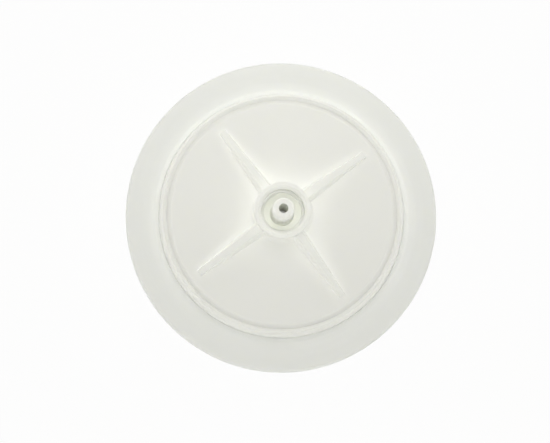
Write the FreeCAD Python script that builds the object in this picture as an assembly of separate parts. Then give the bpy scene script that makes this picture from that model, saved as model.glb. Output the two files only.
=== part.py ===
"""Disc syringe filter of the 50 mm class, standing on its inlet with the outlet up.

Two moulded housing halves pinch a membrane between them, and a ring moulded round
their flanges seals the joint.  The outlet half carries a male luer tip inside a lock
collar, four gusset ribs and, inside, rings of short bars that hold the membrane up.
The inlet half carries a female luer hub with two lugs, and radial flow ribs.

Millimetres, +Z up.  The origin is the centre of the inlet's mouth, on which the
filter stands.  Profiles are given as radius and height, and turned about Z.
"""
import FreeCAD
import Part
import math
import os
from FreeCAD import Vector

# ---- disc, from its outer edge inwards ----------------------------------------
disc_diameter = 58.0
ring_width = 6.1            # sealing ring in view, from the outer edge to the plateau
flange_reach = 2.7          # how far both flanges run out under the ring
plateau_lean = 0.35         # each half's side leans in by this much over its height
plateau_edge = 0.5          # bevel along the edge of each half
trough_rise = 0.65          # outer slope of the outlet's trough, up to its edge bead
trough_fall = 0.85          # inner slope, down from the face
trough_depth = 0.45
chamber_inset = 2.0         # chamber wall, in from the foot of the plateau
seal_land = 1.25            # width of the land that pinches the membrane
lip_clearance = 0.1         # between the inlet's lip and the outlet's skirt
membrane_clearance = 0.15   # between the membrane's edge and the skirt

# ---- heights, from the inlet's mouth upwards ----------------------------------
hub_length = 8.5            # from the mouth to the underside of the inlet plate
plate_wall = 2.0            # the outlet's grows from this towards the collar
face_rise = 1.5             # the outlet's face climbs by this much up to the collar
chamber_depth = 2.0         # under the membrane
membrane_thickness = 0.2
support_height = 2.2        # support bars, from the membrane to the outlet plate
lip_height = 0.9            # the inlet's lip stands this far above the flanges' joint
flange_thickness = 1.6

# ---- sealing ring -------------------------------------------------------------
ring_cover = 0.8            # over the flanges, at the plateau
ring_crest_width = 0.75     # from the plateau to the crest
ring_crest_rise = 0.25      # from the inner edge to the crest
ring_crown_drop = 0.7       # from the crest to the shoulder
ring_crown_steps = 3        # short cones that make up the crown
ring_shoulder = 1.0         # width of the shoulder above and of the bevel below
ring_land_rise = 1.0        # the straight outer edge ends this far above the joint

# ---- gusset ribs on both faces ------------------------------------------------
rib_count = 4
first_rib_deg = 45.0
rib_inset = 4.0             # outer end, in from the foot of the plateau
rib_end_height = 0.8
rib_end_top, rib_root_top = 1.0, 1.5
rib_draft = 0.25            # each side spreads by this much for each mm down
outlet_rib_height = 4.2     # at the collar, over the edge of the face
inlet_rib_height = 2.3      # at the hub, clear of a syringe's lock collar
rib_sink = 0.4              # the ribs' feet lie this deep in the plates

# ---- membrane support in the outlet half --------------------------------------
bar_pitch = 1.9             # from ring to ring of bars
first_bar_radius = 2.9
bar_width = 0.7
bar_spacing = 8.5           # about, along each ring
channel_width = 1.3         # between one bar and the next
sector_count = 8            # channels that run straight out
first_channel_deg = 16.5
edge_channel = 0.5          # free way round the outermost ring of bars

# ---- flow ribs in the inlet half ----------------------------------------------
flow_rib_count = 12
flow_rib_width = 0.8
flow_rib_start = 4.0
flow_rib_gap = 0.3          # below the membrane
flow_rib_end_gap = 1.0      # to the chamber wall

# ---- male luer tip and lock collar of the outlet ------------------------------
luer_taper = 0.06           # on the diameter, both connectors
tip_end_diameter = 3.96
tip_reach = 2.9             # the tip stands this far out of the collar
tip_edge = 0.3
outlet_bore_diameter = 1.7
funnel_width, funnel_height = 0.9, 0.6
collar_outer_diameter = 10.4
collar_inner_diameter = 8.0
collar_height = 5.6
collar_chamfer_width, collar_chamfer_height = 0.55, 0.6
collar_foot = 0.5           # bevel between the collar and the face

# ---- female luer hub of the inlet ---------------------------------------------
socket_mouth_diameter = 4.3
socket_floor = 1.5          # plate left between the socket and the chamber
inlet_bore_diameter = 2.0
hub_diameter = 6.7
hub_straight = 6.0          # taken by the lock collar that screws over the hub
hub_root_diameter = 8.8
lug_diameter = 7.83
lug_count = 2
lug_span_deg = 84.0
lug_height, lug_crest_height = 1.6, 0.8

# ---- radii that follow --------------------------------------------------------
disc_radius = disc_diameter / 2
plateau_radius = disc_radius - ring_width
plateau_top_radius = plateau_radius - plateau_lean
bead_radius = plateau_top_radius - plateau_edge
trough_radius = bead_radius - trough_rise
face_radius = trough_radius - trough_fall
chamber_radius = plateau_radius - chamber_inset
lip_radius = chamber_radius + seal_land
skirt_radius = lip_radius + lip_clearance
membrane_radius = skirt_radius - membrane_clearance
flange_radius = plateau_radius + flange_reach
rib_end_radius = plateau_radius - rib_inset
outlet_bore_radius = outlet_bore_diameter / 2
collar_outer_radius = collar_outer_diameter / 2
collar_inner_radius = collar_inner_diameter / 2
inlet_bore_radius = inlet_bore_diameter / 2
socket_radius = socket_mouth_diameter / 2
hub_radius = hub_diameter / 2
hub_root_radius = hub_root_diameter / 2
crest_radius = plateau_radius + ring_crest_width
shoulder_radius = disc_radius - ring_shoulder

# ---- levels that follow -------------------------------------------------------
z_underside = hub_length
z_floor = z_underside + plate_wall
z_membrane = z_floor + chamber_depth
z_support = z_membrane + membrane_thickness
z_ceiling = z_support + support_height
z_face = z_ceiling + plate_wall
z_collar = z_face + collar_height
z_tip = z_collar + tip_reach
z_socket = z_floor - socket_floor
z_joint = z_membrane - lip_height
z_flange_top = z_joint + flange_thickness
z_flange_bottom = z_joint - flange_thickness
z_ring_inner = z_flange_top + ring_cover
z_crest = z_ring_inner + ring_crest_rise
z_shoulder = z_crest - ring_crown_drop
z_land_top = z_joint + ring_land_rise
z_ring_bottom = z_flange_bottom - ring_cover
z_land_bottom = z_ring_bottom + ring_shoulder

CENTRE = Vector(0, 0, 0)
AXIS = Vector(0, 0, 1)


def at(radius, height):
    """A point of a profile, in the XZ plane."""
    return Vector(radius, 0, height)


def turned(*points, degrees=360.0):
    """Turn a closed profile, given by its corners, about Z."""
    outline = [at(*p) for p in points + points[:1]]
    return Part.Face(Part.makePolygon(outline)).revolve(CENTRE, AXIS, degrees)


def repeated(shape, count, first_deg=0.0):
    """Equally spaced copies of a shape about Z."""
    copies = []
    for i in range(count):
        copy = shape.copy()
        copy.rotate(CENTRE, AXIS, first_deg + 360.0 * i / count)
        copies.append(copy)
    return copies


def side_point(z_plate, z_foot, up, z):
    """The point of a half's leaning side at height z; up is 1 on top, -1 below."""
    z_top = z_plate - up * plateau_edge
    share = (z - z_foot) / (z_top - z_foot)
    return plateau_radius - share * plateau_lean, z


def tapered_bar(start, end):
    """Flat-sided solid between two sections of four corners each."""
    sides = [(start[i - 1], start[i], end[i], end[i - 1]) for i in range(4)]
    faces = [Part.Face(Part.makePolygon([*corners, corners[0]]))
             for corners in [start, end] + sides]
    return Part.Solid(Part.Shell(faces))


def gusset_ribs(root_radius, z_plate, root_height, up):
    """Drafted ribs that fall from the hub to a low square end on the plate."""
    def section(radius, top, height):
        foot = top / 2 + rib_draft * (height + rib_sink)
        corners = [(-foot, -rib_sink), (foot, -rib_sink), (top / 2, height), (-top / 2, height)]
        return [Vector(radius, y, z_plate + up * z) for y, z in corners]

    rib = tapered_bar(section(root_radius, rib_root_top, root_height),
                      section(rib_end_radius, rib_end_top, rib_end_height))
    return repeated(rib, rib_count, first_rib_deg)


def outlet_shell():
    """Plate, lock collar, side wall, skirt and flange of the outlet half.

    The face is a low cone that ends in a trough and a bead.  The collar is plain
    inside, with a lead-in at its mouth.
    """
    foot_radius = collar_outer_radius + collar_foot
    return turned(
        (0, z_face),
        (collar_inner_radius, z_face),
        (collar_inner_radius, z_collar - collar_chamfer_height),
        (collar_inner_radius + collar_chamfer_width, z_collar),
        (collar_outer_radius, z_collar),
        (collar_outer_radius, z_face + face_rise + collar_foot),
        (foot_radius, z_face + face_rise),
        (face_radius, z_face),
        (trough_radius, z_face - trough_depth),
        (bead_radius, z_face),
        (plateau_top_radius, z_face - plateau_edge),
        (plateau_radius, z_flange_top),
        (flange_radius, z_flange_top),
        (flange_radius, z_joint),
        (skirt_radius, z_joint),
        (skirt_radius, z_support),
        (chamber_radius, z_support),
        (chamber_radius, z_ceiling),
        (0, z_ceiling),
    )


def support_bars():
    """Short bars under the outlet plate, in rings, with radial channels between them."""
    outermost = chamber_radius - edge_channel - bar_width / 2
    bars = []
    for i in range(int((outermost - first_bar_radius) / bar_pitch) + 1):
        radius = first_bar_radius + i * bar_pitch
        around = 2 * math.pi * radius
        count = sector_count * max(1, round(around / (sector_count * bar_spacing)))
        length = around / count - channel_width
        corner = Vector(radius - bar_width / 2, -length / 2, z_support)
        bar = Part.makeBox(bar_width, length, support_height, corner)
        bars += repeated(bar, count, first_channel_deg + 180.0 / count)
    return bars


def luer_tip():
    """Male luer cone that rises through the collar to a bevelled end."""
    def cone(z):
        return tip_end_diameter / 2 + luer_taper / 2 * (z_tip - z)

    z_shoulder = z_tip - tip_edge
    return turned(
        (0, z_face),
        (cone(z_face), z_face),
        (cone(z_shoulder), z_shoulder),
        (cone(z_shoulder) - tip_edge, z_tip),
        (0, z_tip),
    )


def outlet_port():
    """Bore through the tip and the plate, with the funnel that leads into it."""
    return turned(
        (0, z_ceiling),
        (outlet_bore_radius + funnel_width, z_ceiling),
        (outlet_bore_radius, z_ceiling + funnel_height),
        (outlet_bore_radius, z_tip),
        (0, z_tip),
    )


def outlet_housing():
    """The upper moulding, one piece."""
    collar_middle = (collar_outer_radius + collar_inner_radius) / 2
    ribs = gusset_ribs(collar_middle, z_face, outlet_rib_height, 1)
    body = outlet_shell().fuse([luer_tip()] + ribs + support_bars())
    return body.cut(outlet_port()).removeSplitter()


def inlet_shell():
    """Plate, side wall, lip and flange of the inlet half."""
    return turned(
        (0, z_underside),
        (plateau_top_radius - plateau_edge, z_underside),
        (plateau_top_radius, z_underside + plateau_edge),
        (plateau_radius, z_flange_bottom),
        (flange_radius, z_flange_bottom),
        (flange_radius, z_joint),
        (lip_radius, z_joint),
        (lip_radius, z_membrane),
        (chamber_radius, z_membrane),
        (chamber_radius, z_floor),
        (0, z_floor),
    )


def flow_ribs():
    """Radial ribs that stand on the inlet floor and spread the flow."""
    length = chamber_radius - flow_rib_end_gap - flow_rib_start
    height = z_membrane - flow_rib_gap - z_floor
    foot = Vector(flow_rib_start, -flow_rib_width / 2, z_floor)
    rib = Part.makeBox(length, flow_rib_width, height, foot)
    return repeated(rib, flow_rib_count)


def inlet_hub():
    """Outside of the female hub, from its mouth up into the plate."""
    return turned(
        (0, 0),
        (hub_radius, 0),
        (hub_radius, hub_straight),
        (hub_root_radius, z_underside),
        (hub_root_radius, z_floor),
        (0, z_floor),
    )


def lock_lugs():
    """The two lugs at the mouth that a lock collar's thread draws in."""
    bevel = (lug_height - lug_crest_height) / 2
    inside = hub_radius - bevel
    lug = turned(
        (inside, 0),
        (hub_radius, 0),
        (lug_diameter / 2, bevel),
        (lug_diameter / 2, bevel + lug_crest_height),
        (hub_radius, lug_height),
        (inside, lug_height),
        degrees=lug_span_deg,
    )
    return repeated(lug, lug_count, -lug_span_deg / 2)


def inlet_port():
    """Female luer socket and the bore that leads from it to the chamber."""
    bottom_radius = socket_radius - luer_taper / 2 * z_socket
    return turned(
        (0, 0),
        (socket_radius, 0),
        (bottom_radius, z_socket),
        (inlet_bore_radius, z_socket),
        (inlet_bore_radius, z_floor),
        (0, z_floor),
    )


def inlet_housing():
    """The lower moulding, one piece."""
    hub_middle = (hub_radius + socket_radius) / 2
    ribs = gusset_ribs(hub_middle, z_underside, inlet_rib_height, -1)
    body = inlet_shell().fuse([inlet_hub()] + lock_lugs() + ribs + flow_ribs())
    return body.cut(inlet_port()).removeSplitter()


def filter_membrane():
    """Flat porous disc, pinched between the two seal lands."""
    return Part.makeCylinder(membrane_radius, membrane_thickness, at(0, z_membrane))


def sealing_ring():
    """Ring moulded round both flanges, crowned on top and flat below."""
    steps = [i / ring_crown_steps for i in range(ring_crown_steps + 1)]
    crown = [(crest_radius + t * (shoulder_radius - crest_radius),
              z_crest - t * t * ring_crown_drop) for t in steps]
    turn = math.sin(math.radians(45))
    bevel = (shoulder_radius + ring_shoulder * turn,
             z_land_top + (z_shoulder - z_land_top) * turn)
    return turned(
        (flange_radius, z_flange_top),
        (plateau_radius, z_flange_top),
        side_point(z_face, z_flange_top, 1, z_ring_inner),
        *crown,
        bevel,
        (disc_radius, z_land_top),
        (disc_radius, z_land_bottom),
        (shoulder_radius, z_ring_bottom),
        side_point(z_underside, z_flange_bottom, -1, z_ring_bottom),
        (plateau_radius, z_flange_bottom),
        (flange_radius, z_flange_bottom),
    )


pieces = {
    "outlet_housing": outlet_housing(),
    "inlet_housing": inlet_housing(),
    "filter_membrane": filter_membrane(),
    "sealing_ring": sealing_ring(),
}
os.makedirs("parts", exist_ok=True)
for name, piece in pieces.items():
    piece.exportStep(f"parts/{name}.step")
    print(f"{name}: {len(piece.Solids)} solid, valid {piece.isValid()}, {piece.Volume:.1f} mm3")
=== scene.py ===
"""Looks of the disc syringe filter: milky polypropylene, the lock thread, studio, camera.

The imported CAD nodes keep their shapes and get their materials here.  The one added
piece is the two-start thread inside the outlet's lock collar.  Metres, +Z up.
"""
import math

import bmesh
import bpy
from mathutils import Matrix, Vector


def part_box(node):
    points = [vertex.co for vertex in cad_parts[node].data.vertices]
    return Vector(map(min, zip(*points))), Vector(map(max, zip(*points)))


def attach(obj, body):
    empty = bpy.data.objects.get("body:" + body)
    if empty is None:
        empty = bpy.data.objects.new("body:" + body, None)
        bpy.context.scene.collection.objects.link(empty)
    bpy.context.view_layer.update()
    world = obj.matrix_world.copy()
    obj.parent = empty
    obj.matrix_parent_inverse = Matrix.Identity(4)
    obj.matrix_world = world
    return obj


MM = 0.001

# ---- lock thread, inside the outlet's collar ----------------------------------
THREAD_STARTS = 2
THREAD_LEAD = 5.0 * MM
THREAD_TURNS = 0.72
THREAD_FOOT_RADIUS = 4.03 * MM      # just inside the collar's wall
THREAD_CREST_RADIUS = 3.5 * MM
THREAD_FOOT_WIDTH = 1.1 * MM
THREAD_CREST_WIDTH = 0.4 * MM
THREAD_CREST_ROUNDING = 0.06 * MM
THREAD_TOP_BELOW_TIP = 3.9 * MM     # middle of the thread's upper end
THREAD_RUNOUT = 0.07                # share of the length that fades into the wall
THREAD_STEPS = 96

# ---- finish: two colours that clouds blend, and what the plastic's skin is like ----
MILKY, MILKY_DEEP = (0.955, 0.96, 0.94), (0.945, 0.95, 0.925)
RING, RING_DEEP = (0.945, 0.96, 0.95), (0.935, 0.95, 0.935)
FILM, FILM_DEEP = (0.95, 0.945, 0.92), (0.90, 0.895, 0.87)

CLOUD_SIZE = 9 * MM
SKIN_SIZE = 0.9 * MM                # patches that are a little glossier than others
SKIN_ROUGHNESS = (0.58, 0.66)
WAVE_SIZE, WAVE_DEPTH = 6 * MM, 0.05 * MM
GRAIN_SIZE, GRAIN_DEPTH = 0.12 * MM, 0.006 * MM
HALF_EDGE, RING_EDGE = 0.15 * MM, 0.5 * MM      # rounding of sharp edges
RING_GRAIN = 1.6                    # the overmoulded ring's grain is this many times deeper
POLYPROPYLENE = {
    "Subsurface Weight": 0.25,
    "Subsurface Radius": (1.0, 1.0, 0.85),
    "Subsurface Scale": 0.8 * MM,
    "IOR": 1.49,
}

FELT_SIZE, FELT_DEPTH = 0.25 * MM, 0.02 * MM
FELT_ROUGHNESS = (0.86, 0.98)
PORE_SIZE, PORE_DEPTH = 0.06 * MM, 0.01 * MM
FILM_SPECULAR = 0.25

# ---- studio -------------------------------------------------------------------
WARM_WHITE = (1, 0.995, 0.94)       # of the lamps and the walls
FLOOR_SIZE = 3.0
FLOOR_GREY = 0.94
FLOOR_ROUGHNESS = 0.9
FLOOR_WHITE_SHARE = 0.95            # the rest of what the camera sees keeps the shadow
WALLS, CEILING = 2.0, 0.1           # how bright they are
WALLS_END, CEILING_START = 0.12, 0.5    # sines of the heights that they fade between
LIGHT_BOUNCES = 24                  # light wanders far between white walls

# ---- camera, against the middle of the joint between the halves ----------------
VIEW_LEAN = 7.2                     # degrees from straight down
VIEW_SIDE = 263.5                   # the side that it leans towards
PICTURE_UP = 99.0                   # direction of the picture's top
VIEW_DISTANCE = 600 * MM
FOCAL_LENGTH = 210.0
SENSOR_WIDTH = 36.0
NEAREST_SEEN = 0.05
AIM_LEFT, AIM_DOWN = 1.12 * MM, 0.77 * MM


def heading(degrees, lean=90.0):
    """Unit vector towards a compass direction, leaning from +Z by this much."""
    a, b = math.radians(degrees), math.radians(lean)
    return Vector((math.cos(a) * math.sin(b), math.sin(a) * math.sin(b), math.cos(b)))


# ---- nodes of a material ------------------------------------------------------
def set_range(node, start, end, low, high):
    """Make a Map Range node stretch start..end to low..high."""
    for socket, number in zip(("From Min", "From Max", "To Min", "To Max"),
                              (start, end, low, high)):
        node.inputs[socket].default_value = number


class Shader:
    """A material's node tree, with short calls to add and join nodes."""

    def __init__(self, name):
        self.material = bpy.data.materials.new(name)
        self.material.use_nodes = True
        self.nodes = self.material.node_tree.nodes
        self.links = self.material.node_tree.links
        self.bsdf = self.nodes["Principled BSDF"]
        self.coords = self.add("TexCoord").outputs["Object"]

    def add(self, kind, **values):
        """New node; a value sets the property of its name, or else the socket."""
        node = self.nodes.new("ShaderNode" + kind)
        for name, value in values.items():
            if hasattr(node, name):
                setattr(node, name, value)
            else:
                node.inputs[name].default_value = value
        return node

    def join(self, output, node, socket):
        self.links.new(output, node.inputs[socket])
        return node

    def noise(self, size, detail, roughness=0.55, distortion=0.0):
        """Noise whose clouds are about this size, from 0 to 1."""
        node = self.add("TexNoise", Scale=1 / size, Detail=detail, Roughness=roughness,
                        Distortion=distortion)
        self.join(self.coords, node, "Vector")
        return node.outputs["Fac"]

    def span(self, value, low, high, start=0.3, end=0.7):
        """Stretch a value from start..end, where most noise lies, to low..high."""
        node = self.add("MapRange")
        set_range(node, start, end, low, high)
        return self.join(value, node, "Value").outputs["Result"]

    def blend(self, share, first, second):
        """Mix two colours by a share that a texture gives."""
        node = self.add("Mix", data_type="RGBA")
        node.inputs[6].default_value = (*first, 1)
        node.inputs[7].default_value = (*second, 1)
        self.links.new(share, node.inputs[0])
        return node.outputs[2]

    def bump(self, height, depth, normal=None):
        """Relief of this depth, over an earlier normal."""
        node = self.add("Bump", Strength=1.0, Distance=depth)
        self.join(height, node, "Height")
        if normal:
            self.join(normal, node, "Normal")
        return node.outputs["Normal"]

    def rounded(self, radius):
        """Normal that rounds sharp edges by this radius."""
        return self.add("Bevel", samples=6, Radius=radius).outputs["Normal"]


def polypropylene(name, tint, tint_deep, edge=HALF_EDGE, grain=1.0):
    """Natural polypropylene: milky, slightly clouded, with a satin moulded skin."""
    s = Shader(name)
    clouds = s.noise(CLOUD_SIZE, detail=4, distortion=0.6)
    s.join(s.blend(s.span(clouds, 0, 1), tint, tint_deep), s.bsdf, "Base Color")
    skin = s.noise(SKIN_SIZE, detail=5, roughness=0.7)
    s.join(s.span(skin, *SKIN_ROUGHNESS), s.bsdf, "Roughness")
    normal = s.rounded(edge)
    normal = s.bump(s.noise(WAVE_SIZE, detail=2), WAVE_DEPTH, normal)
    normal = s.bump(s.noise(GRAIN_SIZE, detail=4, roughness=0.65), GRAIN_DEPTH * grain, normal)
    s.join(normal, s.bsdf, "Normal")
    for socket, value in POLYPROPYLENE.items():
        s.bsdf.inputs[socket].default_value = value
    return s.material


def porous_film(name):
    """Matt white membrane with a felted, porous face."""
    s = Shader(name)
    felt = s.noise(FELT_SIZE, detail=8, roughness=0.75, distortion=1.2)
    s.join(s.blend(s.span(felt, 0, 1), FILM, FILM_DEEP), s.bsdf, "Base Color")
    s.join(s.span(felt, *FELT_ROUGHNESS), s.bsdf, "Roughness")
    pores = s.noise(PORE_SIZE, detail=6, roughness=0.8)
    s.join(s.bump(pores, PORE_DEPTH, s.bump(felt, FELT_DEPTH)), s.bsdf, "Normal")
    s.bsdf.inputs["Specular IOR Level"].default_value = FILM_SPECULAR
    return s.material


# ---- the thread ---------------------------------------------------------------
def thread_section(share):
    """The thread's section at a share of its length: radius and height of each corner."""
    fade = min(1.0, share / THREAD_RUNOUT, (1 - share) / THREAD_RUNOUT)
    crest = THREAD_FOOT_RADIUS + fade * (THREAD_CREST_RADIUS - THREAD_FOOT_RADIUS)
    foot, tip = THREAD_FOOT_WIDTH / 2, THREAD_CREST_WIDTH / 2
    round_off = THREAD_CREST_ROUNDING * fade
    return [
        (THREAD_FOOT_RADIUS, -foot),
        (crest + round_off, -tip - 0.4 * round_off),
        (crest, -tip + round_off),
        (crest, tip - round_off),
        (crest + round_off, tip + 0.4 * round_off),
        (THREAD_FOOT_RADIUS, foot),
    ]


def lock_thread(z_top):
    """Two-start right-handed thread, each start fading in and out of the wall."""
    mesh = bmesh.new()
    for start in range(THREAD_STARTS):
        rows = []
        for i in range(THREAD_STEPS + 1):
            share = i / THREAD_STEPS
            turned = 2 * math.pi * (start / THREAD_STARTS - share * THREAD_TURNS)
            z = z_top - share * THREAD_TURNS * THREAD_LEAD
            rows.append([mesh.verts.new((r * math.cos(turned), r * math.sin(turned), z + h))
                         for r, h in thread_section(share)])
        for a, b in zip(rows, rows[1:]):
            for k in range(len(a)):
                n = (k + 1) % len(a)
                mesh.faces.new((a[k], a[n], b[n], b[k]))
        mesh.faces.new(rows[0][::-1])
        mesh.faces.new(rows[-1])
    bmesh.ops.recalc_face_normals(mesh, faces=mesh.faces)
    for face in mesh.faces:
        face.smooth = len(face.verts) == 4      # the end caps stay flat
    data = bpy.data.meshes.new("lock_thread")
    mesh.to_mesh(data)
    mesh.free()
    thread = bpy.data.objects.new("lock_thread", data)
    bpy.context.scene.collection.objects.link(thread)
    return thread


# ---- studio -------------------------------------------------------------------
def white_floor(z):
    """Plain floor that the camera sees as white, less the object's soft shadow."""
    bpy.ops.mesh.primitive_plane_add(size=FLOOR_SIZE, location=(0, 0, z))
    floor = bpy.context.object
    floor.name = "floor"
    s = Shader("floor_white")
    s.bsdf.inputs["Base Color"].default_value = (FLOOR_GREY, FLOOR_GREY, FLOOR_GREY, 1)
    s.bsdf.inputs["Roughness"].default_value = FLOOR_ROUGHNESS
    s.bsdf.inputs["Specular IOR Level"].default_value = 0.0
    white = s.add("Emission", Strength=1.0)
    mix = s.add("MixShader")
    s.join(s.span(seen_directly(s), 0, FLOOR_WHITE_SHARE, 0, 1), mix, "Fac")
    s.links.new(s.bsdf.outputs[0], mix.inputs[1])
    s.links.new(white.outputs[0], mix.inputs[2])
    s.links.new(mix.outputs[0], s.nodes["Material Output"].inputs["Surface"])
    floor.data.materials.append(s.material)


def seen_directly(s):
    """1 for what the camera sees, straight or by reflection or through the object."""
    path = s.add("LightPath")
    total = path.outputs["Is Camera Ray"]
    for kind in ("Is Glossy Ray", "Is Transmission Ray"):
        node = s.add("Math", operation="MAXIMUM")
        s.links.new(total, node.inputs[0])
        s.links.new(path.outputs[kind], node.inputs[1])
        total = node.outputs[0]
    return total


def lamp(name, target, towards, distance, size, power):
    """Square soft light that looks at the target from this direction."""
    data = bpy.data.lights.new(name, "AREA")
    data.size = size
    data.energy = power
    data.color = WARM_WHITE
    light = bpy.data.objects.new(name, data)
    light.visible_camera = False
    light.location = target + towards * distance
    light.rotation_euler = towards.to_track_quat("Z", "Y").to_euler()
    bpy.context.scene.collection.objects.link(light)


def surroundings():
    """White walls all round under a dimmer ceiling."""
    world = bpy.data.worlds.new("studio")
    bpy.context.scene.world = world
    world.use_nodes = True
    nodes, links = world.node_tree.nodes, world.node_tree.links
    split = nodes.new("ShaderNodeSeparateXYZ")
    links.new(nodes.new("ShaderNodeTexCoord").outputs["Generated"], split.inputs[0])
    level = nodes.new("ShaderNodeMapRange")
    set_range(level, WALLS_END, CEILING_START, WALLS, CEILING)
    links.new(split.outputs["Z"], level.inputs["Value"])
    nodes["Background"].inputs["Color"].default_value = (*WARM_WHITE, 1)
    links.new(level.outputs["Result"], nodes["Background"].inputs["Strength"])


def camera(target):
    """Camera nearly straight above the outlet, at the photograph's angle."""
    data = bpy.data.cameras.new("camera")
    data.lens = FOCAL_LENGTH
    data.sensor_width = SENSOR_WIDTH
    data.clip_start = NEAREST_SEEN
    view = bpy.data.objects.new("camera", data)
    back = heading(VIEW_SIDE, VIEW_LEAN)
    up = (heading(PICTURE_UP) - heading(PICTURE_UP).dot(back) * back).normalized()
    right = up.cross(back)
    aim = target - AIM_LEFT * right - AIM_DOWN * up
    view.location = aim + back * VIEW_DISTANCE
    view.rotation_euler = Matrix((right, up, back)).transposed().to_euler()
    bpy.context.scene.collection.objects.link(view)
    bpy.context.scene.camera = view


# ---- the scene ----------------------------------------------------------------
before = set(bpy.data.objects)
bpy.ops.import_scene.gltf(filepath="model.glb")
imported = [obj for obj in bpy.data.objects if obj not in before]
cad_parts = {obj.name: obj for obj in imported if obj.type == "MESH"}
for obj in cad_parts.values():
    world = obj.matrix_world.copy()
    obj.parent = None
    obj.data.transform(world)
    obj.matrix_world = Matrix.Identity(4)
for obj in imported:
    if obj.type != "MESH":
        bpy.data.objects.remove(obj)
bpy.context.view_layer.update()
outlet_low, outlet_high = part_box("outlet_housing")
middle = Vector((0, 0, outlet_low.z))       # on the axis, where the halves meet

finishes = {
    "outlet_housing": polypropylene("outlet_polypropylene", MILKY, MILKY_DEEP),
    "inlet_housing": polypropylene("inlet_polypropylene", MILKY, MILKY_DEEP),
    "filter_membrane": porous_film("membrane_film"),
    "sealing_ring": polypropylene("ring_polypropylene", RING, RING_DEEP, edge=RING_EDGE,
                                  grain=RING_GRAIN),
}
for node, material in finishes.items():
    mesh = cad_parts[node].data
    mesh.materials.clear()
    mesh.materials.append(material)

thread = lock_thread(outlet_high.z - THREAD_TOP_BELOW_TIP)
thread.data.materials.append(finishes["outlet_housing"])
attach(thread, "root")

white_floor(0.0)
surroundings()
# on the camera's line, so that it lights the luer well to its bottom
lamp("overhead", middle, heading(VIEW_SIDE, VIEW_LEAN), 1200 * MM, 90 * MM, 4.15)
# near, so that the face gets darker from the picture's top to its bottom
lamp("side", middle, heading(PICTURE_UP, 23), 110 * MM, 70 * MM, 0.031)
camera(middle)
bpy.context.scene.view_settings.view_transform = "Standard"
bpy.context.scene.cycles.diffuse_bounces = LIGHT_BOUNCES
bpy.context.scene.cycles.max_bounces = LIGHT_BOUNCES
